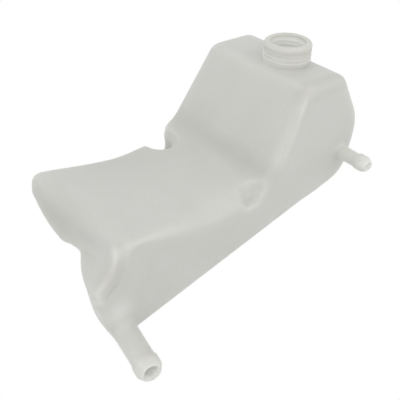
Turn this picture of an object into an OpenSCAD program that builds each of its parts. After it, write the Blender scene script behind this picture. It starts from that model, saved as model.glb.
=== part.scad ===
// Coolant expansion tank, blow moulded in one piece.
// Millimetres. The filler neck's axis is +Z and the centre of its rim is the origin.
// +X runs from the outlet end to the back of the filler tower, and -Y is the flat side with the stubs.

/* [Shell] */
// Wall of the blown shell
wall = 2.6; // [2:0.1:3.2]
// Width from the flat side to the far side of the shelf
body_w = 120; // [108:1:132]
// Rounding of the long edges
edge_r = 8; // [6:0.5:9]

/* [Filler tower] */
// Filler axis to the flat side
neck_to_panel = 51; // [44:1:58]
// Filler axis to the front edge of the deck
deck_front = 24; // [22:0.5:27]
// Filler axis to the back edge of the deck
deck_back = 20; // [18:0.5:25]
// Lean of the front face from upright, in degrees
face_lean = 26; // [20:1:30]
// How far the back bulges past the deck
back_bulge = 25; // [16:1:27]
// Deck down to the widest place of the back
bulge_drop = 45; // [38:1:52]
// Deck down to the sole of the tower
sole_drop = 107.5; // [101:0.5:113]
// How far the far side of the tower flares out above the shelf
flare = 12; // [0:1:15]

/* [Shelf] */
// Deck down to the middle of the shelf
shelf_drop = 76; // [71:1:83]
// Filler axis to the outlet end of the shelf
shelf_reach = 211; // [195:1:225]
// Rise of the shelf towards its outlet end
shelf_rise = 6; // [0:1:10]
// Further rise of the shelf's far corner at its outlet end
shelf_tilt = 4.5; // [0:0.5:6]
// Thickness of the shelf at its outlet end
tongue_t = 38; // [33:0.5:40]
// Rounding in the fold between front face and shelf
fold_r = 20; // [12:1:24]

/* [Keel] */
// Width of the keel below the shelf
keel_w = 46; // [38:1:52]
// Fall of the keel's bottom edge, in degrees
keel_fall = 15.5; // [12:0.5:18]
// Height of the raised beads on the flat side
bead_h = 2; // [1:0.5:3]

/* [Shoulder and notches] */
// Depth of the broad shoulder along the flat side
shoulder_h = 18; // [10:1:20]
// Depth of the notch at the foot of the tower's flat side
near_notch = 8; // [5:1:11]
// Height of the far notch's floor above the tower's sole
far_notch_up = 7; // [5.5:0.5:15]
// Length of the far notch along the shelf
notch_l = 30; // [22:1:31]

/* [Filler neck] */
// Outside diameter over the thread
neck_od = 40; // [38:0.5:44]
// Height of the neck above the deck
neck_h = 18.2; // [16:0.1:22]
// Diameter of the mouth
mouth_d = 28; // [26:0.5:30]

/* [Outlet stub] */
// Outside diameter of the outlet stub
outlet_od = 19; // [18:0.2:22]
// Bore of the outlet stub
outlet_bore = 11.5; // [10:0.5:13]
// Length of the outlet stub past the flat side
outlet_len = 48.5; // [40:0.5:60]
// Turn of the outlet stub away from square, in degrees
outlet_turn = 10; // [0:1:16]
// Diameter over the bead of the outlet stub
outlet_bead_od = 20.4; // [20:0.2:24]

/* [Overflow stub] */
// Outside diameter of the overflow stub
overflow_od = 12; // [10:0.2:13]
// Bore of the overflow stub
overflow_bore = 6; // [5:0.5:7]
// Length of the overflow stub past the flat side
overflow_len = 31; // [26:1:40]
// Diameter over the bead of the overflow stub
overflow_bead_od = 13.6; // [13.2:0.2:15]

/* [Hidden] */
$fn = 72;
y_near = -neck_to_panel;
y_far = body_w - neck_to_panel;
keel_y = y_near + keel_w;
// The keel stands this proud of the tower's flat side, so that the two faces never coincide
keel_proud = 0.2;
// How far the neck's and the stubs' roots reach into the hollow, and how far the bores are cut
// in past the shell's face and out past the tips
root_in = 1;
bore_in = 16;
bore_out = 1;
end_top = shelf_rise - shelf_drop;
// Below this height the far side of the shelf turns under
under_z = end_top - 10;
// Lowest corner of the keel, and where its bottom edge leaves the tower's sole
keel_start = -10;
keel_end_in = 16;
// The keel's top reaches at least this far into the shelf, so that the two hollows meet
keel_lap = 2.5 * wall;
keel_end = -sole_drop - (shelf_reach - keel_end_in) * tan(keel_fall);
// Where the front face meets the shelf, the lowest place of the shoulder, and the middle of the shelf
fold_up = 5;
fold_x = -deck_front - (shelf_drop - fold_up) * tan(face_lean);
shoulder_x = fold_x - 36;
mid_x = fold_x - 71;
under_mid = mix(-sole_drop, end_top - tongue_t, 0.6);
// Rounding of the back's bulge and of the corner between back and sole
bulge_r = 38;
heel_r = 28;
heel_x = deck_back + 15;
heel_up = 12.5;
// How far the tower's far side stands out at the deck already, and how late its flare starts
deck_out = 2;
flare_h = shelf_drop - 14;
flare_pow = 1;
// Where the flare fades out along the shelf
flare_fade = 19;
// Dip of the shelf's far edge beside the far notch
far_dip = 2.2;
// How far the column's knee stands out past the shelf's end at the flat side and at the keel's far
// side, its height below the end's top, and how far in from the shelf's end the column's top is at
// both sides, and its foot
knee_out = 14;
knee_far_out = 0;
knee_drop = 40;
knee_r = 11;
column_in = 7;
column_far_in = 1.5;
foot_in = 6;
// How much of its depth the shelf's end loses where it meets the column
end_rise = 0.4;
// Place of the outlet stub: in from the shelf's end, and up from the keel's lowest corner
outlet_in = 11.6;
outlet_up = 14;
// Its turned root reaches a little deeper than the others
outlet_root = root_in + 0.5;
// Place of the overflow stub: back from the deck's back edge, and down from the deck
overflow_back = 3.5;
overflow_drop = 70;

// Smooth step from 0 at a to 1 at b, straight blend, and a smooth hump of height 1
function ease(v, a, b) = let (t = min(1, max(0, (v - a) / (b - a)))) t * t * (3 - 2 * t);
function mix(a, b, t) = a + (b - a) * t;
function hump(v, mid, half) = let (t = min(1, abs(v - mid) / half)) (1 - t * t) * (1 - t * t);

function unit(v) = v / norm(v);
function right_of(d) = [d[1], -d[0]];

// Corner i of the side view v = [x, z, rounding, points in the rounding, points before it],
// taken clockwise, with every edge moved inwards by h
function corner(v, i, h) =
    let (n = len(v))
    let (p = [v[i][0], v[i][1]])
    let (a = [v[(i + n - 1) % n][0], v[(i + n - 1) % n][1]])
    let (b = [v[(i + 1) % n][0], v[(i + 1) % n][1]])
    let (d0 = unit(p - a), d1 = unit(b - p))
    let (n0 = right_of(d0), n1 = right_of(d1))
    let (bis = unit(n0 + n1))
    let (w = p + bis * h / (bis * n0))
    let (turn = d0[0] * d1[1] - d0[1] * d1[0])
    let (ang = acos(min(1, d0 * d1)))
    let (sgn = turn < 0 ? 1 : -1)
    let (r = sgn > 0 ? max(1, v[i][2] - h) : v[i][2] + h)
    let (c = w - d0 * r * tan(ang / 2) + n0 * r * sgn)
    [for (k = [0 : v[i][3]])
        let (f = ang * k / v[i][3])
        c + (-n0 * sgn * cos(f) + d0 * sin(f)) * r];

function outline(v, h) =
    let (n = len(v))
    let (cs = [for (i = [0 : n - 1]) corner(v, i, h)])
    [for (i = [0 : n - 1])
        let (c = cs[i], last = c[len(c) - 1], next = cs[(i + 1) % n][0])
        let (m = v[(i + 1) % n][4])
        each concat(c, [for (k = [1 : 1 : m]) mix(last, next, k / (m + 1))])];

// Solid through a row of outlines, each with the same number of points
module loft(rings) {
    n = len(rings[0]);
    m = len(rings);
    polyhedron(
        points = [for (ring = rings) each ring],
        faces = concat(
            [[for (i = [0 : n - 1]) i]],
            [for (j = [0 : m - 2], i = [0 : n - 1])
                let (a = j * n + i, b = j * n + (i + 1) % n, c = b + n, d = a + n)
                each [[a, d, b], [b, d, c]]],
            [[for (i = [n - 1 : -1 : 0]) (m - 1) * n + i]]),
        convexity = 10);
}

// Tower and shelf, seen from the flat side; end_r rounds the shelf's outlet end
function slab_side(end_r) = [
    [deck_back, 0, 8, 4, 1],
    [deck_back + back_bulge, -bulge_drop, bulge_r, 4, 1],
    [heel_x, -sole_drop + heel_up, heel_r, 5, 1],
    [keel_start, -sole_drop, 60, 2, 1],
    [-shelf_reach - 1, end_top - tongue_t, 12, 4, 4],
    [-shelf_reach + 1, end_top, end_r, 5, 1],
    [mid_x, -shelf_drop, 160, 2, 7],
    [fold_x, -shelf_drop + fold_up, fold_r, 6, 7],
    [-deck_front, 0, 9, 4, 4]];

// 1 where the top is the shelf, 0 on the tower and below the shelf
function on_shelf(x, z) = ease(z, end_top - 30, end_top - 18) * ease(-x, -fold_x - 4, -fold_x + 6);

// How far below the shelf its flat side starts: deepest beside the tower's foot, and deep again at the end
shoulder_min = 1.5;
shoulder_end = 12;
shoulder_half = 54;
end_run = 24;
function shoulder(x) =
    let (half = x < shoulder_x ? shelf_reach + shoulder_x - end_run : shoulder_half)
    shoulder_min + shoulder_h * hump(x, shoulder_x, half)
        + shoulder_end * ease(-x, shelf_reach - end_run, shelf_reach - end_run / 3);

// How far the tower's rounded near edge is carried down, where the keel goes on below it
function over_keel(x, z) =
    let (fall = max(0, (keel_start - x) * tan(keel_fall)))
    ease(-z, sole_drop - 13, sole_drop - 7) * min(edge_r + 6, fall);

// Outward flare of the tower's far side, and the rise and dip of the shelf's far edge
function tower_flare(x, z) =
    let (down = min(1, max(0, -z - 4) / flare_h))
    (deck_out + flare * pow(down, flare_pow)) * ease(x, fold_x - flare_fade, fold_x - 4)
        * ease(z, -sole_drop - 7, under_z);
function far_lift(x, y, z) =
    let (tilt = shelf_tilt * ease(-x, -mid_x + 20, shelf_reach - 8))
    let (dip = far_dip * hump(x, mid_x + 12, 45))
    (tilt - dip) * ease(y, 0, y_far) * ease(z, end_top - 26, end_top - 12) * on_shelf(x, end_top);

// Rows across the tower: [-1, angle] in the near edge's rounding, [0, part of the width], [1, angle]
round_n = 4;
slab_rows = [
    for (k = [0 : round_n]) [-1, 90 * k / round_n],
    for (f = [0.14, 0.3, 0.45, 0.58, 0.7, 0.8, 0.9]) [0, f],
    for (k = [round_n : -1 : 0]) [1, 90 * k / round_n]];

// How much of its depth the shelf's underside has lost: towards the far side, and where its end
// meets the column. It starts this far before the middle of the shelf, and this far in from its end.
far_rise_run = 50;
end_rise_run = 42;
function under_rise(x, y) =
    let (t = min(0.97, max(0, (y - 2) / (y_far - 8))))
    let (far = (1 - sqrt(1 - t * t)) * ease(x, mid_x + far_rise_run, mid_x))
    let (end = ease(-x, shelf_reach - end_rise_run, shelf_reach - 12))
    max(far, end_rise * end * ease(keel_y - y, -27, 3));

// Rounding of the shelf's outlet end: large beside the column, small at the far side
end_near_r = 22;
end_far_r = 8;
// How far the outlet end draws back beside the column and at its far corner
end_near_in = 5;
end_far_in = 2.2;
function slab_row(s, in) =
    let (t = 1 - cos(s[1]), c = s[0] == 0 ? 0 : 1 - sin(s[1]))
    let (near = s[0] < 0, far = s[0] > 0)
    let (end_mid_r = end_far_r + (end_near_r - 7) * hump(s[1], 0.2, 0.8))
    let (end_r = near ? end_near_r : far ? end_far_r : end_mid_r)
    [for (p = outline(slab_side(end_r), in + edge_r * c))
        let (x = p[0], z = p[1])
        let (top = on_shelf(x, z), sh = shoulder(x), keel = over_keel(x, z))
        let (near_r = edge_r + top * 0.9 * max(0, sh - edge_r))
        let (y0 = y_near + in, y1 = y_far - in + tower_flare(x - in, z))
        let (y = near ? y0 + near_r * t : far ? y1 - edge_r * t : mix(y0 + near_r, y1 - edge_r, s[1]))
        let (up = near ? ((edge_r - sh) * top - keel) * c : 0)
        let (turn_z = under_z + in)
        let (rise = z < turn_z ? (turn_z - z) * under_rise(x, y + in) : 0)
        let (beside = end_near_in * (1 - ease(y, y_near + 8, keel_y - 4)))
        let (at_corner = end_far_in * ease(y, 20, y_far))
        let (back = ease(-x, shelf_reach - 34, shelf_reach - 4) * (beside + at_corner))
        [x + back, y, z + up + rise + far_lift(x, y, z)]];

// Keel and the outlet end's column, seen from the flat side: across is 0 there and 1 at the far side,
// and back is how far the end draws back
function keel_side(across, back) = [
    [-2, -sole_drop + 24, 3, 2, 4],
    [-4, -sole_drop + 3, 6, 2, 0],
    [-shelf_reach + foot_in, keel_end, 9, 4, 5],
    [-shelf_reach - mix(knee_out, knee_far_out, across) + back, end_top - knee_drop, knee_r, 4, 2],
    [-shelf_reach + mix(column_in, column_far_in, across), end_top - 17, 22, 3, 1],
    [-shelf_reach + 16, end_top - 12, 6, 3, 1],
    [mid_x, max(-shelf_drop - shoulder_h - 7, under_mid + keel_lap), 10, 2, 3]];

// Rows across the keel: the rounding of the flat side, then [distance in from its far wall, rise]
keel_rows = [
    for (k = [0 : round_n]) [90 * k / round_n, 0, 0],
    [90, 30, 0], [90, 22, 0], [90, 15, 0.05], [90, 10, 0.16],
    [90, 7, 0.32], [90, 4.5, 0.6], [90, 1, 0.96]];

function keel_row(s, in) =
    let (y0 = y_near + in - keel_proud, c = 1 - sin(s[0]), floor_z = end_top - tongue_t + 8)
    let (y = s[1] > 0 ? keel_y - in - s[1] : y0 + edge_r * (1 - cos(s[0])))
    let (across = min(1, (y - y_near) / (keel_w - 6)))
    [for (p = outline(keel_side(across, 6 * s[2] * s[2]), in + edge_r * c))
        [p[0], y, p[1] < floor_z ? mix(p[1], floor_z, s[2]) : p[1]]];

// Raised beads on the flat side: centres [x, y inwards of the bead's crest, z, radius], counted from
// the shelf's end. The first turns from the shelf down onto the column's knee.
end_bead = [
    [11.2, 8, -4.2, 2.4], [9.6, 4, -7.6, 2.8], [8.2, 1.2, -11.6, 3], [7, 0, -16.5, 3], [5, 0, -21.5, 3],
    [1.6, 0, -26.5, 3], [-2.4, 0, -30, 3], [-6.6, 0.6, -33.5, 3.2], [-9.4, 2.4, -37, 3.4]];
// A groove runs beside it, with a thin bead on its other side, and a short bead stands over the outlet
end_groove = [
    [15.8, 1.3, -8.5, 3.2], [14.6, 0.3, -12.2, 3.4], [13.4, 0, -16, 3.5], [12.2, 0, -20, 3.5],
    [10.5, 0, -25, 3.5], [8, 0.1, -29.4, 3.4], [4, 0.3, -34, 3.2], [0.5, 0.6, -38.5, 3], [-2.6, 1.1, -43, 2.8]];
thin_bead = [
    [20, 3, -5, 1.4], [18.6, 0.6, -10, 1.6], [17.6, 0, -15, 1.6], [15.6, 0, -23.5, 1.6],
    [13.4, 0, -29.5, 1.6], [10.6, 0, -35, 1.6], [6.6, 0, -39.4, 1.6], [2.8, 0.4, -42, 1.4]];
outlet_bead = [
    [7.6, 1.2, -50, 3.6], [8.2, 0, -53.5, 4.2], [9, 0, -58, 4.2], [10, 0.2, -64, 4.2], [11, 0.6, -70, 4]];
// Two more run down the two borders of the tower's rounded front edge:
// [part of the way down to the shelf, behind the front face, y inwards, radius]
edge_bead = [
    [0.06, 3.8, 4, 2.6], [0.13, 3.6, 1, 3], [0.27, 4.4, 0, 3], [0.45, 6.8, 0, 3], [0.61, 8, 0, 3],
    [0.75, 8.6, 0, 3], [0.85, 10.6, 0.2, 3], [0.94, 13.4, 1, 3], [1.05, 14, 3, 2.6]];
face_bead = [
    [0.08, 2, 7.4, 2], [0.16, 2.2, 5.8, 2.4], [0.3, 2.6, 4.6, 2.4], [0.46, 3, 3.9, 2.4],
    [0.6, 3.4, 3.2, 2.4], [0.7, 3.7, 2.9, 2.4], [0.82, 3.2, 3.2, 2.4], [0.92, 4.6, 2.6, 2.2]];
function down_the_face(path) = [
    for (q = path)
    let (z = -shelf_drop * q[0])
    [z * tan(face_lean) - deck_front + q[1], q[2], z, q[3]]];

// Round bar through the centres, its crest standing out of the flat side by height
module bar(path, height) {
    n = len(path);
    loft([for (i = [0 : n - 1])
        let (p = path[i], a = path[max(0, i - 1)], b = path[min(n - 1, i + 1)])
        let (side = unit(right_of([b[0] - a[0], b[2] - a[2]])), r = p[3])
        let (y = y_near - height + r + p[1])
        [for (k = [0 : 15])
            let (f = 360 * k / 16)
            [p[0] + r * side[0] * cos(f), y + r * sin(f), p[2] + r * side[1] * cos(f)]]]);
}

// The beads are solid: the air behind the wall doesn't reach into anything this narrow
module beads() {
    translate([-shelf_reach, 0, end_top]) {
        bar(end_bead, bead_h);
        bar(thin_bead, bead_h / 3);
        bar(outlet_bead, bead_h / 2);
    }
    bar(down_the_face(edge_bead), bead_h / 2);
    bar(down_the_face(face_bead), bead_h / 2);
}

// Cutter for the groove; grow adds the wall
groove_depth = 1.5;
module groove(grow) {
    wide = [for (p = end_groove) [p[0], p[1] - 2 * p[3], p[2], p[3] + grow]];
    translate([-shelf_reach, 0, end_top]) bar(wide, keel_proud - groove_depth);
}

module skin(in) {
    loft([for (s = slab_rows) slab_row(s, in)]);
    loft([for (s = keel_rows) keel_row(s, in)]);
}

// Rows of a notch from its floor up: [part of the half length, part of the depth, height over the shelf]
notch_lip = 4;
notch_rows = [
    [0.3, -1, 0], [0.62, -0.93, 0], [0.85, -0.76, 0], [0.97, -0.5, 0], [1, -0.28, 0],
    [1, 0, -4], [1, 0, -2.6], [1, 0, -1.2], [1, 0, -0.3], [1, 0, 0], [1, 0, 20]];
lip_rows = [0, 0, 0, 0, 0, 0, 0.08, 0.3, 0.7, 1, 1];

// Cutter for a notch: oval in plan with a rounded floor and a soft rim; its floor falls towards the
// flat side by fall, and grow adds the wall
module notch(deep, long, wide, fall, grow) {
    loft([for (i = [0 : len(notch_rows) - 1])
        let (q = notch_rows[i], lip = notch_lip * lip_rows[i])
        let (rx = (long / 2 - notch_lip + grow) * q[0] + lip)
        let (ry = (wide / 2 - notch_lip + grow) * q[0] + lip)
        let (lip_z = q[2] > 0 ? q[2] : (q[2] + notch_lip) * (1 - grow / notch_lip) - notch_lip)
        let (z = (deep - notch_lip + grow) * q[1] + (q[1] < 0 ? -notch_lip : lip_z))
        [for (k = [0 : 23])
            let (x = rx * cos(15 * k), y = ry * sin(15 * k))
            [x, y, z + fall * (y - wide / 2)]]]);
}

// Sizes of the notches across the tank, and their places from the fold and in from the two sides
near_notch_l = notch_l - 5;
near_notch_w = 29;
near_notch_x = 16.5;
near_notch_in = -1;
near_notch_fall = 0.3;
far_notch = sole_drop - shelf_drop - far_notch_up;
far_notch_w = 39;
far_notch_x = 26.2;
far_notch_in = 4;
module notches(grow) {
    translate([fold_x - near_notch_x, y_near + near_notch_in, -shelf_drop])
    notch(near_notch, near_notch_l, near_notch_w, near_notch_fall, grow);
    translate([fold_x - far_notch_x, y_far - far_notch_in, -shelf_drop])
    notch(far_notch, notch_l, far_notch_w, 0, grow);
}

// Solid of a hose stub along +Z: root flaring from the shell, shaft, bead and chamfered tip
module stub(d, bead_d, length, root) {
    rotate_extrude()
    polygon([
        [0, -root], [d / 2 + 1.2, -root], [d / 2 + 1, -1], [d / 2 + 0.3, 4], [d / 2, 8],
        [d / 2 - 0.2, length - 14], [bead_d / 2, length - 11],
        [bead_d / 2, length - 4], [bead_d / 2 - 2.4, length], [0, length]]);
}

module at_outlet() {
    translate([outlet_in - shelf_reach, y_near, keel_end + outlet_up])
    rotate([90, 0, -outlet_turn])
    children();
}

module at_overflow() {
    translate([deck_back + overflow_back, y_near, -overflow_drop])
    rotate([90, 0, 0])
    children();
}

module neck_solid() {
    r = neck_od / 2;
    rotate_extrude()
    polygon([
        [0, -wall - root_in], [r + 1, -wall - root_in], [r - 1.4, 0.8], [r - 1.6, 2], [r - 0.6, 3], [r, 4],
        [r, neck_h - 5], [r - 0.5, neck_h - 3], [r - 1.6, neck_h - 1.2], [r - 2.8, neck_h - 0.3],
        [r - 4, neck_h], [0, neck_h]]);
}

// Bore along +Z through a neck or stub that ends at the given length
module bore(d, length) {
    translate([0, 0, -bore_in]) cylinder(d = d, h = bore_in + length + bore_out);
}

// The blown shell with its hollow and the mouth's hole through the deck, worked out as one body
// at its own size
module shell() {
    resize([0, 0, 0])
    difference() {
        union() {
            skin(0);
            beads();
        }
        notches(0);
        groove(0);
        difference() {
            skin(wall);
            notches(wall);
            groove(wall);
        }
        bore(mouth_d, 0);
    }
}

module tank() {
    color("gainsboro")
    translate([0, 0, -neck_h])
    difference() {
        union() {
            shell();
            neck_solid();
            at_outlet() stub(outlet_od, outlet_bead_od, outlet_len, wall + outlet_root);
            at_overflow() stub(overflow_od, overflow_bead_od, overflow_len, wall + root_in);
        }
        bore(mouth_d, neck_h);
        at_outlet() bore(outlet_bore, outlet_len);
        at_overflow() bore(overflow_bore, overflow_len);
    }
}

tank();
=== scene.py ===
# %% [markdown]
# This lesson dresses a coolant expansion tank: a hollow tank blown in one piece from milky plastic. The sizes
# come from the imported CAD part, which is loaded first and never changed. Lengths are in metres. The origin is
# the centre of the filler neck's rim, +Z runs up the neck, and -Y is the flat side with the stubs.

# %% Load the CAD part
import math

import bmesh
import bpy
from mathutils import Matrix, Vector


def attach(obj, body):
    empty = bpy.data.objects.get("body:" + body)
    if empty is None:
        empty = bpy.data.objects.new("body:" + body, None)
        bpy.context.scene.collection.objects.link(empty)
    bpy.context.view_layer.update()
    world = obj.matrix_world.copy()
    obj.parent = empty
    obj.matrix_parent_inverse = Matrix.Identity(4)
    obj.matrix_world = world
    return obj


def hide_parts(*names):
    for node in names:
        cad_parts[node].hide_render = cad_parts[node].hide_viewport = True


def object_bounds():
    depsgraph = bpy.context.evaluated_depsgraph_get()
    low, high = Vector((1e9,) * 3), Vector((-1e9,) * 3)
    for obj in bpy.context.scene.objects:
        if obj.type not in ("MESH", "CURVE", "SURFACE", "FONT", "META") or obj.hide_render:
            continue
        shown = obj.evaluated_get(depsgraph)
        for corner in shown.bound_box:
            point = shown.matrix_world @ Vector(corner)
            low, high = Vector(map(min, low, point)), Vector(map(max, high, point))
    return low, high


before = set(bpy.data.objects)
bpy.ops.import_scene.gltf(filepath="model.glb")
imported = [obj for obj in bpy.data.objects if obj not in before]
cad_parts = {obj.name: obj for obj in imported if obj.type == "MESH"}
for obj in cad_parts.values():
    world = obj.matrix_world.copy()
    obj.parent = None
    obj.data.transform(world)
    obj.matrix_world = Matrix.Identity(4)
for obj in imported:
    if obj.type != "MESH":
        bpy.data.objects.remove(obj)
cad_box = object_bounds()
MM = 0.001
cad_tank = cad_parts["tank"]
print("CAD box", cad_box)

# %% [markdown]
# The camera comes next, because every choice after it is judged through it. It stands to the front left of
# the tank and looks down by about a third of a right angle, with a long lens, as a catalogue photo does.
# Three angles turn it, and its place follows from where the neck's deck falls in the picture.

# %% Camera at the photo's angle
CAMERA_TURN, CAMERA_DOWN, CAMERA_ROLL = (math.radians(a) for a in (-39.37, 33.82, -1.67))
LENS_PX, PICTURE_PX, SENSOR_MM = 702.02, 400, 36
DECK_Z = -18.2
DECK = Vector((0, 0, DECK_Z * MM))
DECK_RIGHT, DECK_UP, DECK_AWAY = 71.29 * MM, 114.71 * MM, 580.17 * MM


def camera_axes():
    """Right, up and forward of a camera that is turned, tipped down and rolled."""
    turn, down, roll = CAMERA_TURN, CAMERA_DOWN, CAMERA_ROLL
    forward = Vector((-math.sin(turn) * math.cos(down), math.cos(turn) * math.cos(down), -math.sin(down)))
    level = Vector((math.cos(turn), math.sin(turn), 0))
    upright = level.cross(forward)
    right = level * math.cos(roll) - upright * math.sin(roll)
    up = level * math.sin(roll) + upright * math.cos(roll)
    return right, up, forward


right, up, forward = camera_axes()
eye = DECK - right * DECK_RIGHT - up * DECK_UP - forward * DECK_AWAY
lens = bpy.data.cameras.new("camera")
lens.sensor_width = SENSOR_MM
lens.lens = LENS_PX / PICTURE_PX * SENSOR_MM
camera = bpy.data.objects.new("camera", lens)
turned = Matrix((right, up, -forward)).transposed().to_4x4()
camera.matrix_world = Matrix.Translation(eye) @ turned
bpy.context.scene.collection.objects.link(camera)
bpy.context.scene.camera = camera
print("camera at", [round(v, 3) for v in eye], "lens", round(lens.lens, 1), "mm")

# %% [markdown]
# The neck and the two stubs are round, so each gets an axis of its own: a frame whose +Z runs out of the
# tank. Their sections can then be written once, in millimetres from the flat side, wherever they stand.

# %% Axes of the neck and the two stubs
PANEL_Y = -51
OUTLET_TURN = math.radians(10)
OUTLET_LENGTH, OVERFLOW_LENGTH = 48.5, 31
NECK_BORE, OUTLET_BORE, OVERFLOW_BORE = 14, 5.75, 3
facing_out = Matrix.Rotation(math.pi / 2, 4, "X")
neck_axis = Matrix.Identity(4)
outlet_axis = (Matrix.Translation(Vector((-199.4, PANEL_Y, -165.78)) * MM)
               @ Matrix.Rotation(-OUTLET_TURN, 4, "Z") @ facing_out)
overflow_axis = Matrix.Translation(Vector((23.5, PANEL_Y, -88.2)) * MM) @ facing_out
for name, place in (("neck", neck_axis), ("outlet", outlet_axis), ("overflow", overflow_axis)):
    print(name, "axis points to", [round(v, 3) for v in place.to_3x3() @ Vector((0, 0, 1))])

# %% [markdown]
# The tank is built from closed meshes, because a closed mesh can be joined to another or cut out of it, and
# the result is closed again. Four helpers do this: one makes an object, one turns its modifiers into plain
# mesh, one joins or cuts, and one turns a round piece from its section, as on a lathe.

# %% Helpers for closed meshes
def new_object(name, bm):
    """An object at the origin that holds the mesh."""
    mesh = bpy.data.meshes.new(name)
    bm.to_mesh(mesh)
    bm.free()
    made = bpy.data.objects.new(name, mesh)
    bpy.context.scene.collection.objects.link(made)
    return made


def plain_mesh(made):
    """Applies a piece's modifiers."""
    done = bpy.data.meshes.new_from_object(made.evaluated_get(bpy.context.evaluated_depsgraph_get()))
    made.modifiers.clear()
    made.data = done


def combine(base, other, how):
    """Joins a closed piece to the base, or cuts it out of the base, and removes the piece."""
    step = base.modifiers.new(how.lower(), "BOOLEAN")
    step.operation = how
    step.solver = "MANIFOLD"
    step.object = other
    before = len(base.data.polygons)
    plain_mesh(base)
    print(f"{how.lower()} {other.name}: {before} faces, then {len(base.data.polygons)}")
    bpy.data.objects.remove(other)


def lathe(name, section, place=neck_axis, steps=96):
    """A solid turned from a section [(radius, height), ...] in mm that starts and ends on the axis."""
    made = bmesh.new()
    low, high = (made.verts.new((0, 0, section[i][1] * MM)) for i in (0, -1))
    rings = []
    for i in range(steps):
        turn = 2 * math.pi * i / steps
        rings.append([made.verts.new((r * MM * math.cos(turn), r * MM * math.sin(turn), h * MM))
                      for r, h in section[1:-1]])
    for i in range(steps):
        here, there = rings[i], rings[(i + 1) % steps]
        made.faces.new((low, there[0], here[0]))
        made.faces.new((high, here[-1], there[-1]))
        for j in range(len(here) - 1):
            made.faces.new((here[j], there[j], there[j + 1], here[j + 1]))
    made.transform(place)
    bmesh.ops.recalc_face_normals(made, faces=made.faces)
    return new_object(name, made)


# %% [markdown]
# The CAD part's mesh is one closed skin: outside, through the bores, and on round the hollow. A copy of it is
# merged and its bore walls are taken out, so that it falls into two skins. Each is closed again with caps.

# %% Take the outer and inner skins apart
BORES = [(neck_axis, NECK_BORE), (outlet_axis, OUTLET_BORE), (overflow_axis, OVERFLOW_BORE)]
SAME_POINT, ON_A_BORE = 0.001 * MM, 0.03 * MM


def from_axis(place, point):
    """Distance of a point from an axis, in metres."""
    p = place.inverted() @ point
    return math.hypot(p.x, p.y)


def islands(bm):
    """The mesh's faces, grouped into connected pieces, the largest first."""
    left, found = set(bm.faces), []
    while left:
        stack, piece = [left.pop()], []
        while stack:
            face = stack.pop()
            piece.append(face)
            for edge in face.edges:
                for other in edge.link_faces:
                    if other in left:
                        left.discard(other)
                        stack.append(other)
        found.append(piece)
    return sorted(found, key=lambda piece: -sum(f.calc_area() for f in piece))


def closed_skin(name, bm, indices):
    """One skin of the mesh as an object of its own, with its holes filled."""
    skin = bm.copy()
    skin.faces.ensure_lookup_table()
    bmesh.ops.delete(skin, geom=[f for f in skin.faces if f.index not in indices], context="FACES")
    bmesh.ops.holes_fill(skin, edges=[e for e in skin.edges if e.is_boundary], sides=0)
    bmesh.ops.triangulate(skin, faces=skin.faces)
    bmesh.ops.recalc_face_normals(skin, faces=skin.faces)
    return new_object(name, skin)


cad = bmesh.new()
cad.from_mesh(cad_tank.data)
cad.transform(cad_tank.matrix_world)
bmesh.ops.remove_doubles(cad, verts=cad.verts, dist=SAME_POINT)
bore_faces = [face for face in cad.faces for place, radius in BORES
              if all(abs(from_axis(place, v.co) - radius * MM) < ON_A_BORE for v in face.verts)]
bmesh.ops.delete(cad, geom=bore_faces, context="FACES")
cad.faces.index_update()
skins = [{f.index for f in piece} for piece in islands(cad)[:2]]
shell = closed_skin("tank_shell", cad, skins[0])
hollow = closed_skin("hollow", cad, skins[1])
cad.free()
print("bore faces", len(bore_faces), "outer", len(shell.data.polygons), "inner", len(hollow.data.polygons))

# %% [markdown]
# A blown tank has no sharp creases: the hot tube is pressed against the mould by air, so every edge comes
# out soft. The CAD part has the right sizes but flat facets. Its neck and stubs are cut off first, because
# they have true edges, but their roots stay, so that they run softly into the wall. The rest is made into an
# even net of small faces and relaxed until the facets run together. The bead at the outlet end and the notch
# by the flat side are relaxed for longer, because a blown wall can't follow such narrow forms of the mould.

# %% Soften the blown body
# each cut's axis, the height of the root that stays, and a radius that clears the piece, in mm
CUTS = {"neck_off": (neck_axis, DECK_Z + 3, 24), "outlet_off": (outlet_axis, 7, 14),
        "overflow_off": (overflow_axis, 5, 10)}
CUT_END = 60
OUTER_NET, INNER_NET = 1.5 * MM, 2.4 * MM
OUTER_PASSES, INNER_PASSES, SPOT_PASSES = 23, 2, 130
# each soft spot's middle and reach in mm, and how much of the extra relaxing it takes
SOFT_SPOTS = [((-200, -46, -92.5), 9, 1), ((-203, -50, -100), 9, 1), ((-204.5, -52, -107), 9, 1),
              ((-208, -52, -113), 9, 1), ((-213.4, -52, -118), 9, 1), ((-217.6, -51.5, -122), 9, 1),
              ((-220.4, -49.5, -125), 7, 1), ((-70, -48, -97), 24, 0.07)]


def relax(piece, passes, group=""):
    """Draws each point towards the middle of its neighbours, pass after pass."""
    step = piece.modifiers.new("relax", "SMOOTH")
    step.factor, step.iterations, step.vertex_group = 0.5, passes, group


def soft_group(piece):
    """Vertex group that is full in the middle of the soft spots and fades to nothing at their reach."""
    group = piece.vertex_groups.new(name="soft spots")
    spots = [(Vector(middle) * MM, reach * MM, share) for middle, reach, share in SOFT_SPOTS]
    for v in piece.data.vertices:
        amount = max(share * min(1, 2 - 2 * (v.co - middle).length / reach) for middle, reach, share in spots)
        if amount > 0:
            group.add([v.index], amount, "REPLACE")
    return group.name


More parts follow.
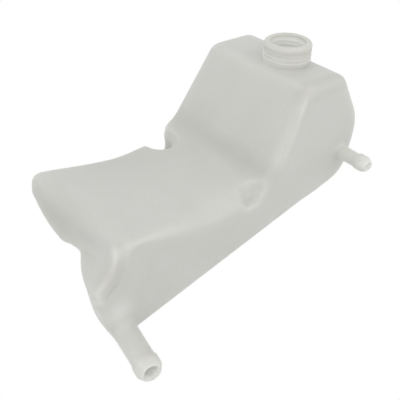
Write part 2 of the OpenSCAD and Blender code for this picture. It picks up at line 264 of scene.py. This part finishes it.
for name, (place, root, radius) in CUTS.items():
    cut = lathe(name, [(0, root), (radius, root), (radius, CUT_END), (0, CUT_END)], place)
    combine(shell, cut, "DIFFERENCE")
for piece, net, passes in ((shell, OUTER_NET, OUTER_PASSES), (hollow, INNER_NET, INNER_PASSES)):
    remesh = piece.modifiers.new("even net", "REMESH")
    remesh.mode = "VOXEL"
    remesh.voxel_size = net
    relax(piece, passes)
    plain_mesh(piece)
    print(piece.name, len(piece.data.polygons), "faces")
relax(shell, SPOT_PASSES, soft_group(shell))
plain_mesh(shell)
shell.vertex_groups.clear()

# %% [markdown]
# The neck keeps true edges, so it is turned on the lathe from its section. It stands on the soft root that
# was left above, narrows to a waist just over the deck, and ends in a broad soft roll.

# %% Filler neck
WAIST, CORE, BAND = 19.3, 19.5, 19.8


def arc(centre, radius, start, end, steps):
    """Points of a section's rounding, in millimetres and degrees."""
    angles = [math.radians(start + (end - start) * i / steps) for i in range(steps + 1)]
    return [(centre[0] + radius * math.cos(a), centre[1] + radius * math.sin(a)) for a in angles]


neck_section = [(0, DECK_Z - 2), (20.6, DECK_Z - 2), (20.3, DECK_Z - 0.1), (19.8, DECK_Z + 0.3),
                (19.5, DECK_Z + 0.9), (WAIST, DECK_Z + 1.8), (WAIST, DECK_Z + 2.5), (CORE, DECK_Z + 3.2),
                (CORE, -5.6), (CORE + 0.3, -5.2), (BAND, -4.6), (BAND, -3.6)]
neck_section += arc((16.6, -3.3), 3.3, 0, 80, 9)[1:] + [(16.2, 0), (0, 0)]
neck = lathe("filler_neck", neck_section, steps=144)
print("neck", len(neck.data.polygons), "faces")

# %% [markdown]
# The stubs are turned in the same way. A hose is pushed over each, so the tip is chamfered to let it on, and
# a raised bead behind the tip holds it there. One section serves both stubs, from their own diameters.

# %% Hose stubs
def stub_section(shaft, bead, length, root):
    """Section of a stub from two diameters: root in the wall, shaft, bead and chamfered tip."""
    r, b = shaft / 2, bead / 2
    back = [(0, -root), (r + 0.3, -root), (r + 0.2, 3), (r, 9), (r - 0.2, length - 14), (r, length - 12.4)]
    ring = [(b - 0.3, length - 11.5), (b, length - 11), (b, length - 4.6), (b - 0.3, length - 3.9)]
    tip = [(b - 2.1, length - 0.6), (b - 2.8, length), (0, length)]
    return back + ring + tip


outlet = lathe("outlet_stub", stub_section(19, 20.4, OUTLET_LENGTH, 3.4), outlet_axis)
overflow = lathe("overflow_stub", stub_section(12, 13.6, OVERFLOW_LENGTH, 3), overflow_axis, 72)
print("stubs", len(outlet.data.polygons), "and", len(overflow.data.polygons), "faces")

# %% [markdown]
# Node trees are easier to read when each node is made in one line, so one small function adds a node, sets
# its properties, and fills or links its inputs by name. Where two inputs share a name, as in a vector sum,
# the second is called by its identifier, such as vector_001.

# %% Helper for node trees
def add_node(tree, kind, settings=None, **inputs):
    """Adds a node, sets its properties, and fills or links its named inputs."""
    node = tree.nodes.new(kind)
    for key, value in (settings or {}).items():
        setattr(node, key, value)
    for key, value in inputs.items():
        socket = next(s for s in node.inputs if s.enabled
                      and key in (s.name.replace(" ", "_").lower(), s.identifier.lower()))
        if isinstance(value, bpy.types.NodeSocket):
            tree.links.new(value, socket)
        else:
            socket.default_value = value
    return node


# %% [markdown]
# The tank is natural polypropylene: no pigment, so it looks milky. Light goes into the wall, scatters and
# comes out some millimetres away, which softens every shadow and lights the hollow from within. The surface
# has the fine matt grain of a blasted mould. The tone is nearly even: slow clouds and a fine grain where the
# wall varies. Shade and light are also painted into the colour, each in a zone that fades out: painted shade
# in the fold, at the shelf's end and on its far half, and over the bead, the deck's edge and the neck's roll;
# painted light at the knee, the outlet's root, the small stub and the neck's waist. Inside the mouth and the
# stubs the wall is seen with the light behind it, so the inner skin is painted paler, as painted light, and
# light travels further in it.

# %% Milky polypropylene
CLOUD_MM, GRAIN_MM = 40, 1.4
# each zone's middle in mm, how much each axis counts, reach in mm, and colour
# painted shade: a greyer colour where shade falls in the fold, at the shelf's end and on its far half, and over
# the bright bead, deck edge and neck roll
PAINTED_SHADE = {
    "fold between tower and shelf": ((-57.5, 0, -84.2), (1, 0, 1), 14, "#C5C5BF"),
    "end of the shelf": ((-210, 20, -99), (1, 0.35, 1), 26, "#C1C1BB"),
    "far half of the shelf": ((-115, 55, -88), (0.6, 1, 1), 70, "#C9C9C4"),
    "bead at the outlet end": ((-209, -52, -112), (0.8, 1, 0.6), 18, "#C6C6C0"),
    "edge of the deck": ((0, -46, -21), (0, 1, 1), 13, "#C6C6C0"),
    "roll of the neck": ((0, 0, -1), (0, 0, 1), 7, "#C9C9C3"),
}
# painted light: a paler colour where light falls, at the knee, the outlet's root, the small stub's root and the
# neck's waist
PAINTED_LIGHT = {
    "knee": ((-219, -50, -126), (1, 1, 1), 5, "#DCDCD8"),
    "root of the outlet": ((-202, -52, -147), (1, 1, 1), 17, "#DEDED9"),
    "small stub": ((22, -66, -87), (1, 0.4, 1), 14, "#DADAD5"),
    "waist of the neck": ((0, 0, -12), (0, 0, 1), 7, "#D6D6D1"),
}


def linear(code):
    """An sRGB hex colour as Blender's linear values."""
    parts = [int(code[i:i + 2], 16) / 255 for i in (1, 3, 5)]
    return [c / 12.92 if c <= 0.04045 else ((c + 0.055) / 1.055) ** 2.4 for c in parts] + [1.0]


def painted_shade_and_light_zone(tree, place, tone, middle, share, reach, colour):
    """The tone, changed near a middle towards a colour that paints shade or light there, and fading out at the
    reach.
    """
    offset = add_node(tree, "ShaderNodeVectorMath", {"operation": "SUBTRACT"}, vector=place,
                      vector_001=[v * MM for v in middle]).outputs["Vector"]
    scaled = add_node(tree, "ShaderNodeVectorMath", {"operation": "MULTIPLY"}, vector=offset,
                      vector_001=share).outputs["Vector"]
    away = add_node(tree, "ShaderNodeVectorMath", {"operation": "LENGTH"}, vector=scaled).outputs["Value"]
    amount = add_node(tree, "ShaderNodeMapRange", {"interpolation_type": "SMOOTHSTEP"}, value=away,
                      from_min=0.0, from_max=reach * MM, to_min=1.0, to_max=0.0).outputs[0]
    return add_node(tree, "ShaderNodeMix", {"data_type": "RGBA"}, factor=amount, a=tone,
                    b=linear(colour)).outputs[2]


def milky_polypropylene(name, dark, light, scatter_mm, zones=()):
    """Natural polypropylene between two tones, in which light travels about scatter_mm."""
    material = bpy.data.materials.new(name)
    material.use_nodes = True
    tree = material.node_tree
    shader = tree.nodes["Principled BSDF"]
    place = add_node(tree, "ShaderNodeTexCoord").outputs["Object"]
    cloud, grain = (add_node(tree, "ShaderNodeTexNoise", vector=place, scale=1 / (size * MM),
                             detail=2.0).outputs["Fac"] for size in (CLOUD_MM, GRAIN_MM))
    both = add_node(tree, "ShaderNodeMix", {"data_type": "FLOAT"}, factor=0.5, a=cloud, b=grain).outputs[0]
    tone = add_node(tree, "ShaderNodeMix", {"data_type": "RGBA"}, factor=both, a=linear(dark),
                    b=linear(light)).outputs[2]
    # each zone paints shade or light into the tone
    for zone in zones:
        tone = painted_shade_and_light_zone(tree, place, tone, *zone)
    tree.links.new(tone, shader.inputs["Base Color"])
    bump = add_node(tree, "ShaderNodeBump", strength=0.2, distance=0.05 * MM, height=grain)
    tree.links.new(bump.outputs[0], shader.inputs["Normal"])
    for setting, value in (("Roughness", 0.45), ("IOR", 1.49), ("Subsurface Weight", 0.9),
                           ("Subsurface Radius", (1.0, 1.0, 0.94)), ("Subsurface Scale", scatter_mm * MM)):
        shader.inputs[setting].default_value = value
    return material


outside = milky_polypropylene("milky polypropylene", "#C7C7C2", "#D7D7D2", 7,
                              [*PAINTED_SHADE.values(), *PAINTED_LIGHT.values()])
# painted light: the inner skin's paler tones stand for light that comes through the wall; the longer scatter is
# the plastic's own
inside = milky_polypropylene("milky polypropylene, lit from behind", "#EAEAE5", "#EEEEE9", 12)
print("finishes", outside.name, "with", len(PAINTED_SHADE) + len(PAINTED_LIGHT), "zones, and", inside.name)

# %% [markdown]
# The filler thread is one ridge that winds up the neck. A path does this best, so Geometry Nodes draws a
# spiral, runs a small round section along it, and thins the section at both ends, where a real thread fades
# into the neck. Turns, radius, rise and ridge are inputs, so another neck needs only other numbers.

# %% Filler thread
THREAD = {"Turns": 2.8, "Radius": 19.4 * MM, "Rise": 9.6 * MM, "Ridge": 0.55 * MM}
THREAD_START = DECK_Z + 3.6


def thread_tree():
    """A ridge of the given size along a spiral, thin at both ends."""
    tree = bpy.data.node_groups.new("filler thread", "GeometryNodeTree")
    for name in THREAD:
        tree.interface.new_socket(name, in_out="INPUT", socket_type="NodeSocketFloat")
    tree.interface.new_socket("Geometry", in_out="OUTPUT", socket_type="NodeSocketGeometry")
    given = tree.nodes.new("NodeGroupInput").outputs
    spiral = add_node(tree, "GeometryNodeCurveSpiral", resolution=96, rotations=given["Turns"],
                      start_radius=given["Radius"], end_radius=given["Radius"], height=given["Rise"])
    along = add_node(tree, "GeometryNodeSplineParameter").outputs["Factor"]
    from_end = add_node(tree, "ShaderNodeMath", {"operation": "PINGPONG"}, value=along, value_001=0.5)
    width = add_node(tree, "ShaderNodeMapRange", {"interpolation_type": "SMOOTHSTEP"},
                     value=from_end.outputs[0], from_max=0.06, to_min=0.1)
    ring = add_node(tree, "GeometryNodeCurvePrimitiveCircle", resolution=12, radius=given["Ridge"])
    swept = add_node(tree, "GeometryNodeCurveToMesh", curve=spiral.outputs[0], profile_curve=ring.outputs[0],
                     scale=width.outputs[0], fill_caps=True)
    real = add_node(tree, "GeometryNodeRealizeInstances", geometry=swept.outputs[0])
    skinned = add_node(tree, "GeometryNodeSetMaterial", geometry=real.outputs[0], material=outside)
    tree.links.new(skinned.outputs[0], tree.nodes.new("NodeGroupOutput").inputs[0])
    return tree


thread = new_object("filler_thread", bmesh.new())
winding = thread.modifiers.new("thread", "NODES")
winding.node_group = thread_tree()
for item in winding.node_group.interface.items_tree:
    if item.in_out == "INPUT":
        winding[item.identifier] = THREAD[item.name]
plain_mesh(thread)
thread.data.transform(Matrix.Translation((0, 0, THREAD_START * MM)))
print("thread", len(thread.data.polygons), "faces")

# %% [markdown]
# All of this is one moulding, so it becomes one closed mesh. The neck, stubs and thread are joined to the
# body, and then the hollow is cut out of it. Every piece takes its finish with it, so what the hollow and
# the bores leave behind has the finish of the inner skin, whose paler colour is painted light.

# %% Join the outside and cut out the hollow
def dress(piece, finish):
    """Gives a piece both finishes, so that joins and cuts keep them, and one of the two to its faces."""
    finishes = [outside, inside]
    piece.data.materials.clear()
    for material in finishes:
        piece.data.materials.append(material)
    piece.data.polygons.foreach_set("material_index", [finishes.index(finish)] * len(piece.data.polygons))
    return piece


dress(shell, outside)
for piece in (neck, outlet, overflow, thread):
    combine(shell, dress(piece, outside), "UNION")
combine(shell, dress(hollow, inside), "DIFFERENCE")

# %% [markdown]
# The bores come last. The neck's bore carries the inner side of the thread as soft rings, since a blown wall
# follows the mould on both faces, and its rim rolls over inwards. The stubs' bores are plain, and their outer
# edges are broken, because a cut edge of soft plastic is never sharp.

# %% Bore the neck and the stubs
RINGS, RING_START, RING_STEP, RING_DEPTH = 9, -2.6, 1.6, 0.6
EDGE_HIGH, EDGE_WIDE = 0.8, 0.6
BORE_START = -15
rim = [(0, 1), (16.4, 1), (15.9, 0.05), (15.2, -0.2), (14.6, -0.7), (14.2, -1.4), (NECK_BORE, -2.2),
       (0, -2.2)]
rings = [(NECK_BORE + RING_DEPTH * (i % 2), RING_START - RING_STEP * i) for i in range(RINGS)]
neck_bore = [(0, -1), (NECK_BORE, -1)] + rings
neck_bore += [(NECK_BORE, DECK_Z - 0.6), (NECK_BORE, DECK_Z - 5), (0, DECK_Z - 5)]


def drill(name, place, radius, length, steps):
    """Cuts a stub's bore with the inner finish, and then breaks its outer edge."""
    bore = [(0, BORE_START), (radius, BORE_START), (radius, length + 1), (0, length + 1)]
    edge = [(0, length - EDGE_HIGH), (radius - 0.1, length - EDGE_HIGH), (radius + EDGE_WIDE, length),
            (radius + EDGE_WIDE, length + 1), (0, length + 1)]
    combine(shell, dress(lathe(name, bore, place, steps), inside), "DIFFERENCE")
    combine(shell, dress(lathe(name + "_edge", edge, place, steps), outside), "DIFFERENCE")


combine(shell, dress(lathe("neck_edge", rim, steps=144), outside), "DIFFERENCE")
combine(shell, dress(lathe("neck_bore", neck_bore, steps=144), inside), "DIFFERENCE")
drill("outlet_bore", outlet_axis, OUTLET_BORE, OUTLET_LENGTH, 96)
drill("overflow_bore", overflow_axis, OVERFLOW_BORE, OVERFLOW_LENGTH, 72)

# %% [markdown]
# The moulding is shaded smooth, but for the true edges of the neck and the stubs, and handed to the frame in
# place of the CAD part. A last look makes sure that the mesh is closed and in one piece, and counts the
# openings into the hollow: the neck and the two stubs make three, and a fourth would be a hole in the wall.

# %% Hand the moulding to the frame
TRUE_EDGE = math.radians(38)
shell.data.shade_smooth()
shell.data.set_sharp_from_angle(angle=TRUE_EDGE)
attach(shell, "root")
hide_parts("tank")
check = bmesh.new()
check.from_mesh(shell.data)
open_edges = sum(1 for e in check.edges if not e.is_manifold)
triangles = sum(len(f.verts) - 2 for f in check.faces)
inner_faces = sum(f.material_index for f in check.faces)
openings = 2 - (len(check.verts) - len(check.edges) + len(check.faces)) // 2
print("tank", triangles, "triangles", open_edges, "open edges", len(islands(check)), "piece")
print("inner faces", inner_faces, "of", len(check.faces), "and", openings, "openings into the hollow")
check.free()

# %% [markdown]
# The tank stands on plain white paper, as in a parts catalogue. The paper glows a plain white for the camera
# and for reflections, and is ordinary pale paper for all other light, so it sends up a soft bounce that does
# not wash out the underside.

# %% Floor
FLOOR_HALF, FLOOR_GAP = 3, 2 * MM
PAPER, WHITE = "#F2F2F2", "#FFFFFF"


def paper_material():
    """Pale paper that the camera and reflections see as plain white."""
    material = bpy.data.materials.new("white paper")
    material.use_nodes = True
    tree = material.node_tree
    matt = tree.nodes["Principled BSDF"]
    matt.inputs["Base Color"].default_value = linear(PAPER)
    matt.inputs["Roughness"].default_value = 0.9
    glow = add_node(tree, "ShaderNodeEmission", color=linear(WHITE), strength=1.0)
    rays = add_node(tree, "ShaderNodeLightPath").outputs
    seen = add_node(tree, "ShaderNodeMath", {"operation": "MAXIMUM"}, value=rays["Is Camera Ray"],
                    value_001=rays["Is Glossy Ray"])
    mixed = add_node(tree, "ShaderNodeMixShader", fac=seen.outputs[0], shader=matt.outputs[0],
                     shader_001=glow.outputs[0])
    tree.links.new(mixed.outputs[0], tree.nodes["Material Output"].inputs[0])
    return material


paper = bmesh.new()
bmesh.ops.create_grid(paper, x_segments=1, y_segments=1, size=FLOOR_HALF)
bmesh.ops.translate(paper, verts=paper.verts, vec=(0, 0, cad_box[0][2] - FLOOR_GAP))
floor = new_object("floor", paper)
floor.data.materials.append(paper_material())
print("floor", FLOOR_GAP / MM, "mm under the tank")

# %% [markdown]
# Most of the light comes evenly from the room, and two broad softboxes, one high to the front left and one
# lower by the flat side, add the slow shading of the photo. Small lamps would draw bright lines along the
# soft edges, which milky plastic under a studio's white tent doesn't show. Past the paper's end the camera
# sees plain white as well.

# %% Light
ROOM_LIGHT = 0.82
LAMPS_FACE = Vector((-0.08, 0, -0.08))


def softbox(name, place, wide, high, watts):
    """A broad lamp that faces the middle of the tank."""
    lamp = bpy.data.lights.new(name, "AREA")
    lamp.shape = "RECTANGLE"
    lamp.size, lamp.size_y = wide, high
    lamp.energy = watts
    made = bpy.data.objects.new(name, lamp)
    place = Vector(place)
    facing = (place - LAMPS_FACE).to_track_quat("Z", "Y").to_matrix().to_4x4()
    made.matrix_world = Matrix.Translation(place) @ facing
    bpy.context.scene.collection.objects.link(made)


softbox("front", (-1.1, -0.3, 1.1), 2.4, 1.6, 7)
softbox("side", (0.3, -1.3, 0.5), 2.4, 1.2, 4)
world = bpy.data.worlds.new("studio")
bpy.context.scene.world = world
world.use_nodes = True
tree = world.node_tree
seen = add_node(tree, "ShaderNodeLightPath").outputs["Is Camera Ray"]
strength = add_node(tree, "ShaderNodeMix", {"data_type": "FLOAT"}, factor=seen, a=ROOM_LIGHT, b=1.0)
tree.nodes["Background"].inputs["Color"].default_value = linear(WHITE)
tree.links.new(strength.outputs[0], tree.nodes["Background"].inputs["Strength"])
bpy.context.scene.view_settings.view_transform = "Standard"
print("room light", ROOM_LIGHT, "and two softboxes")
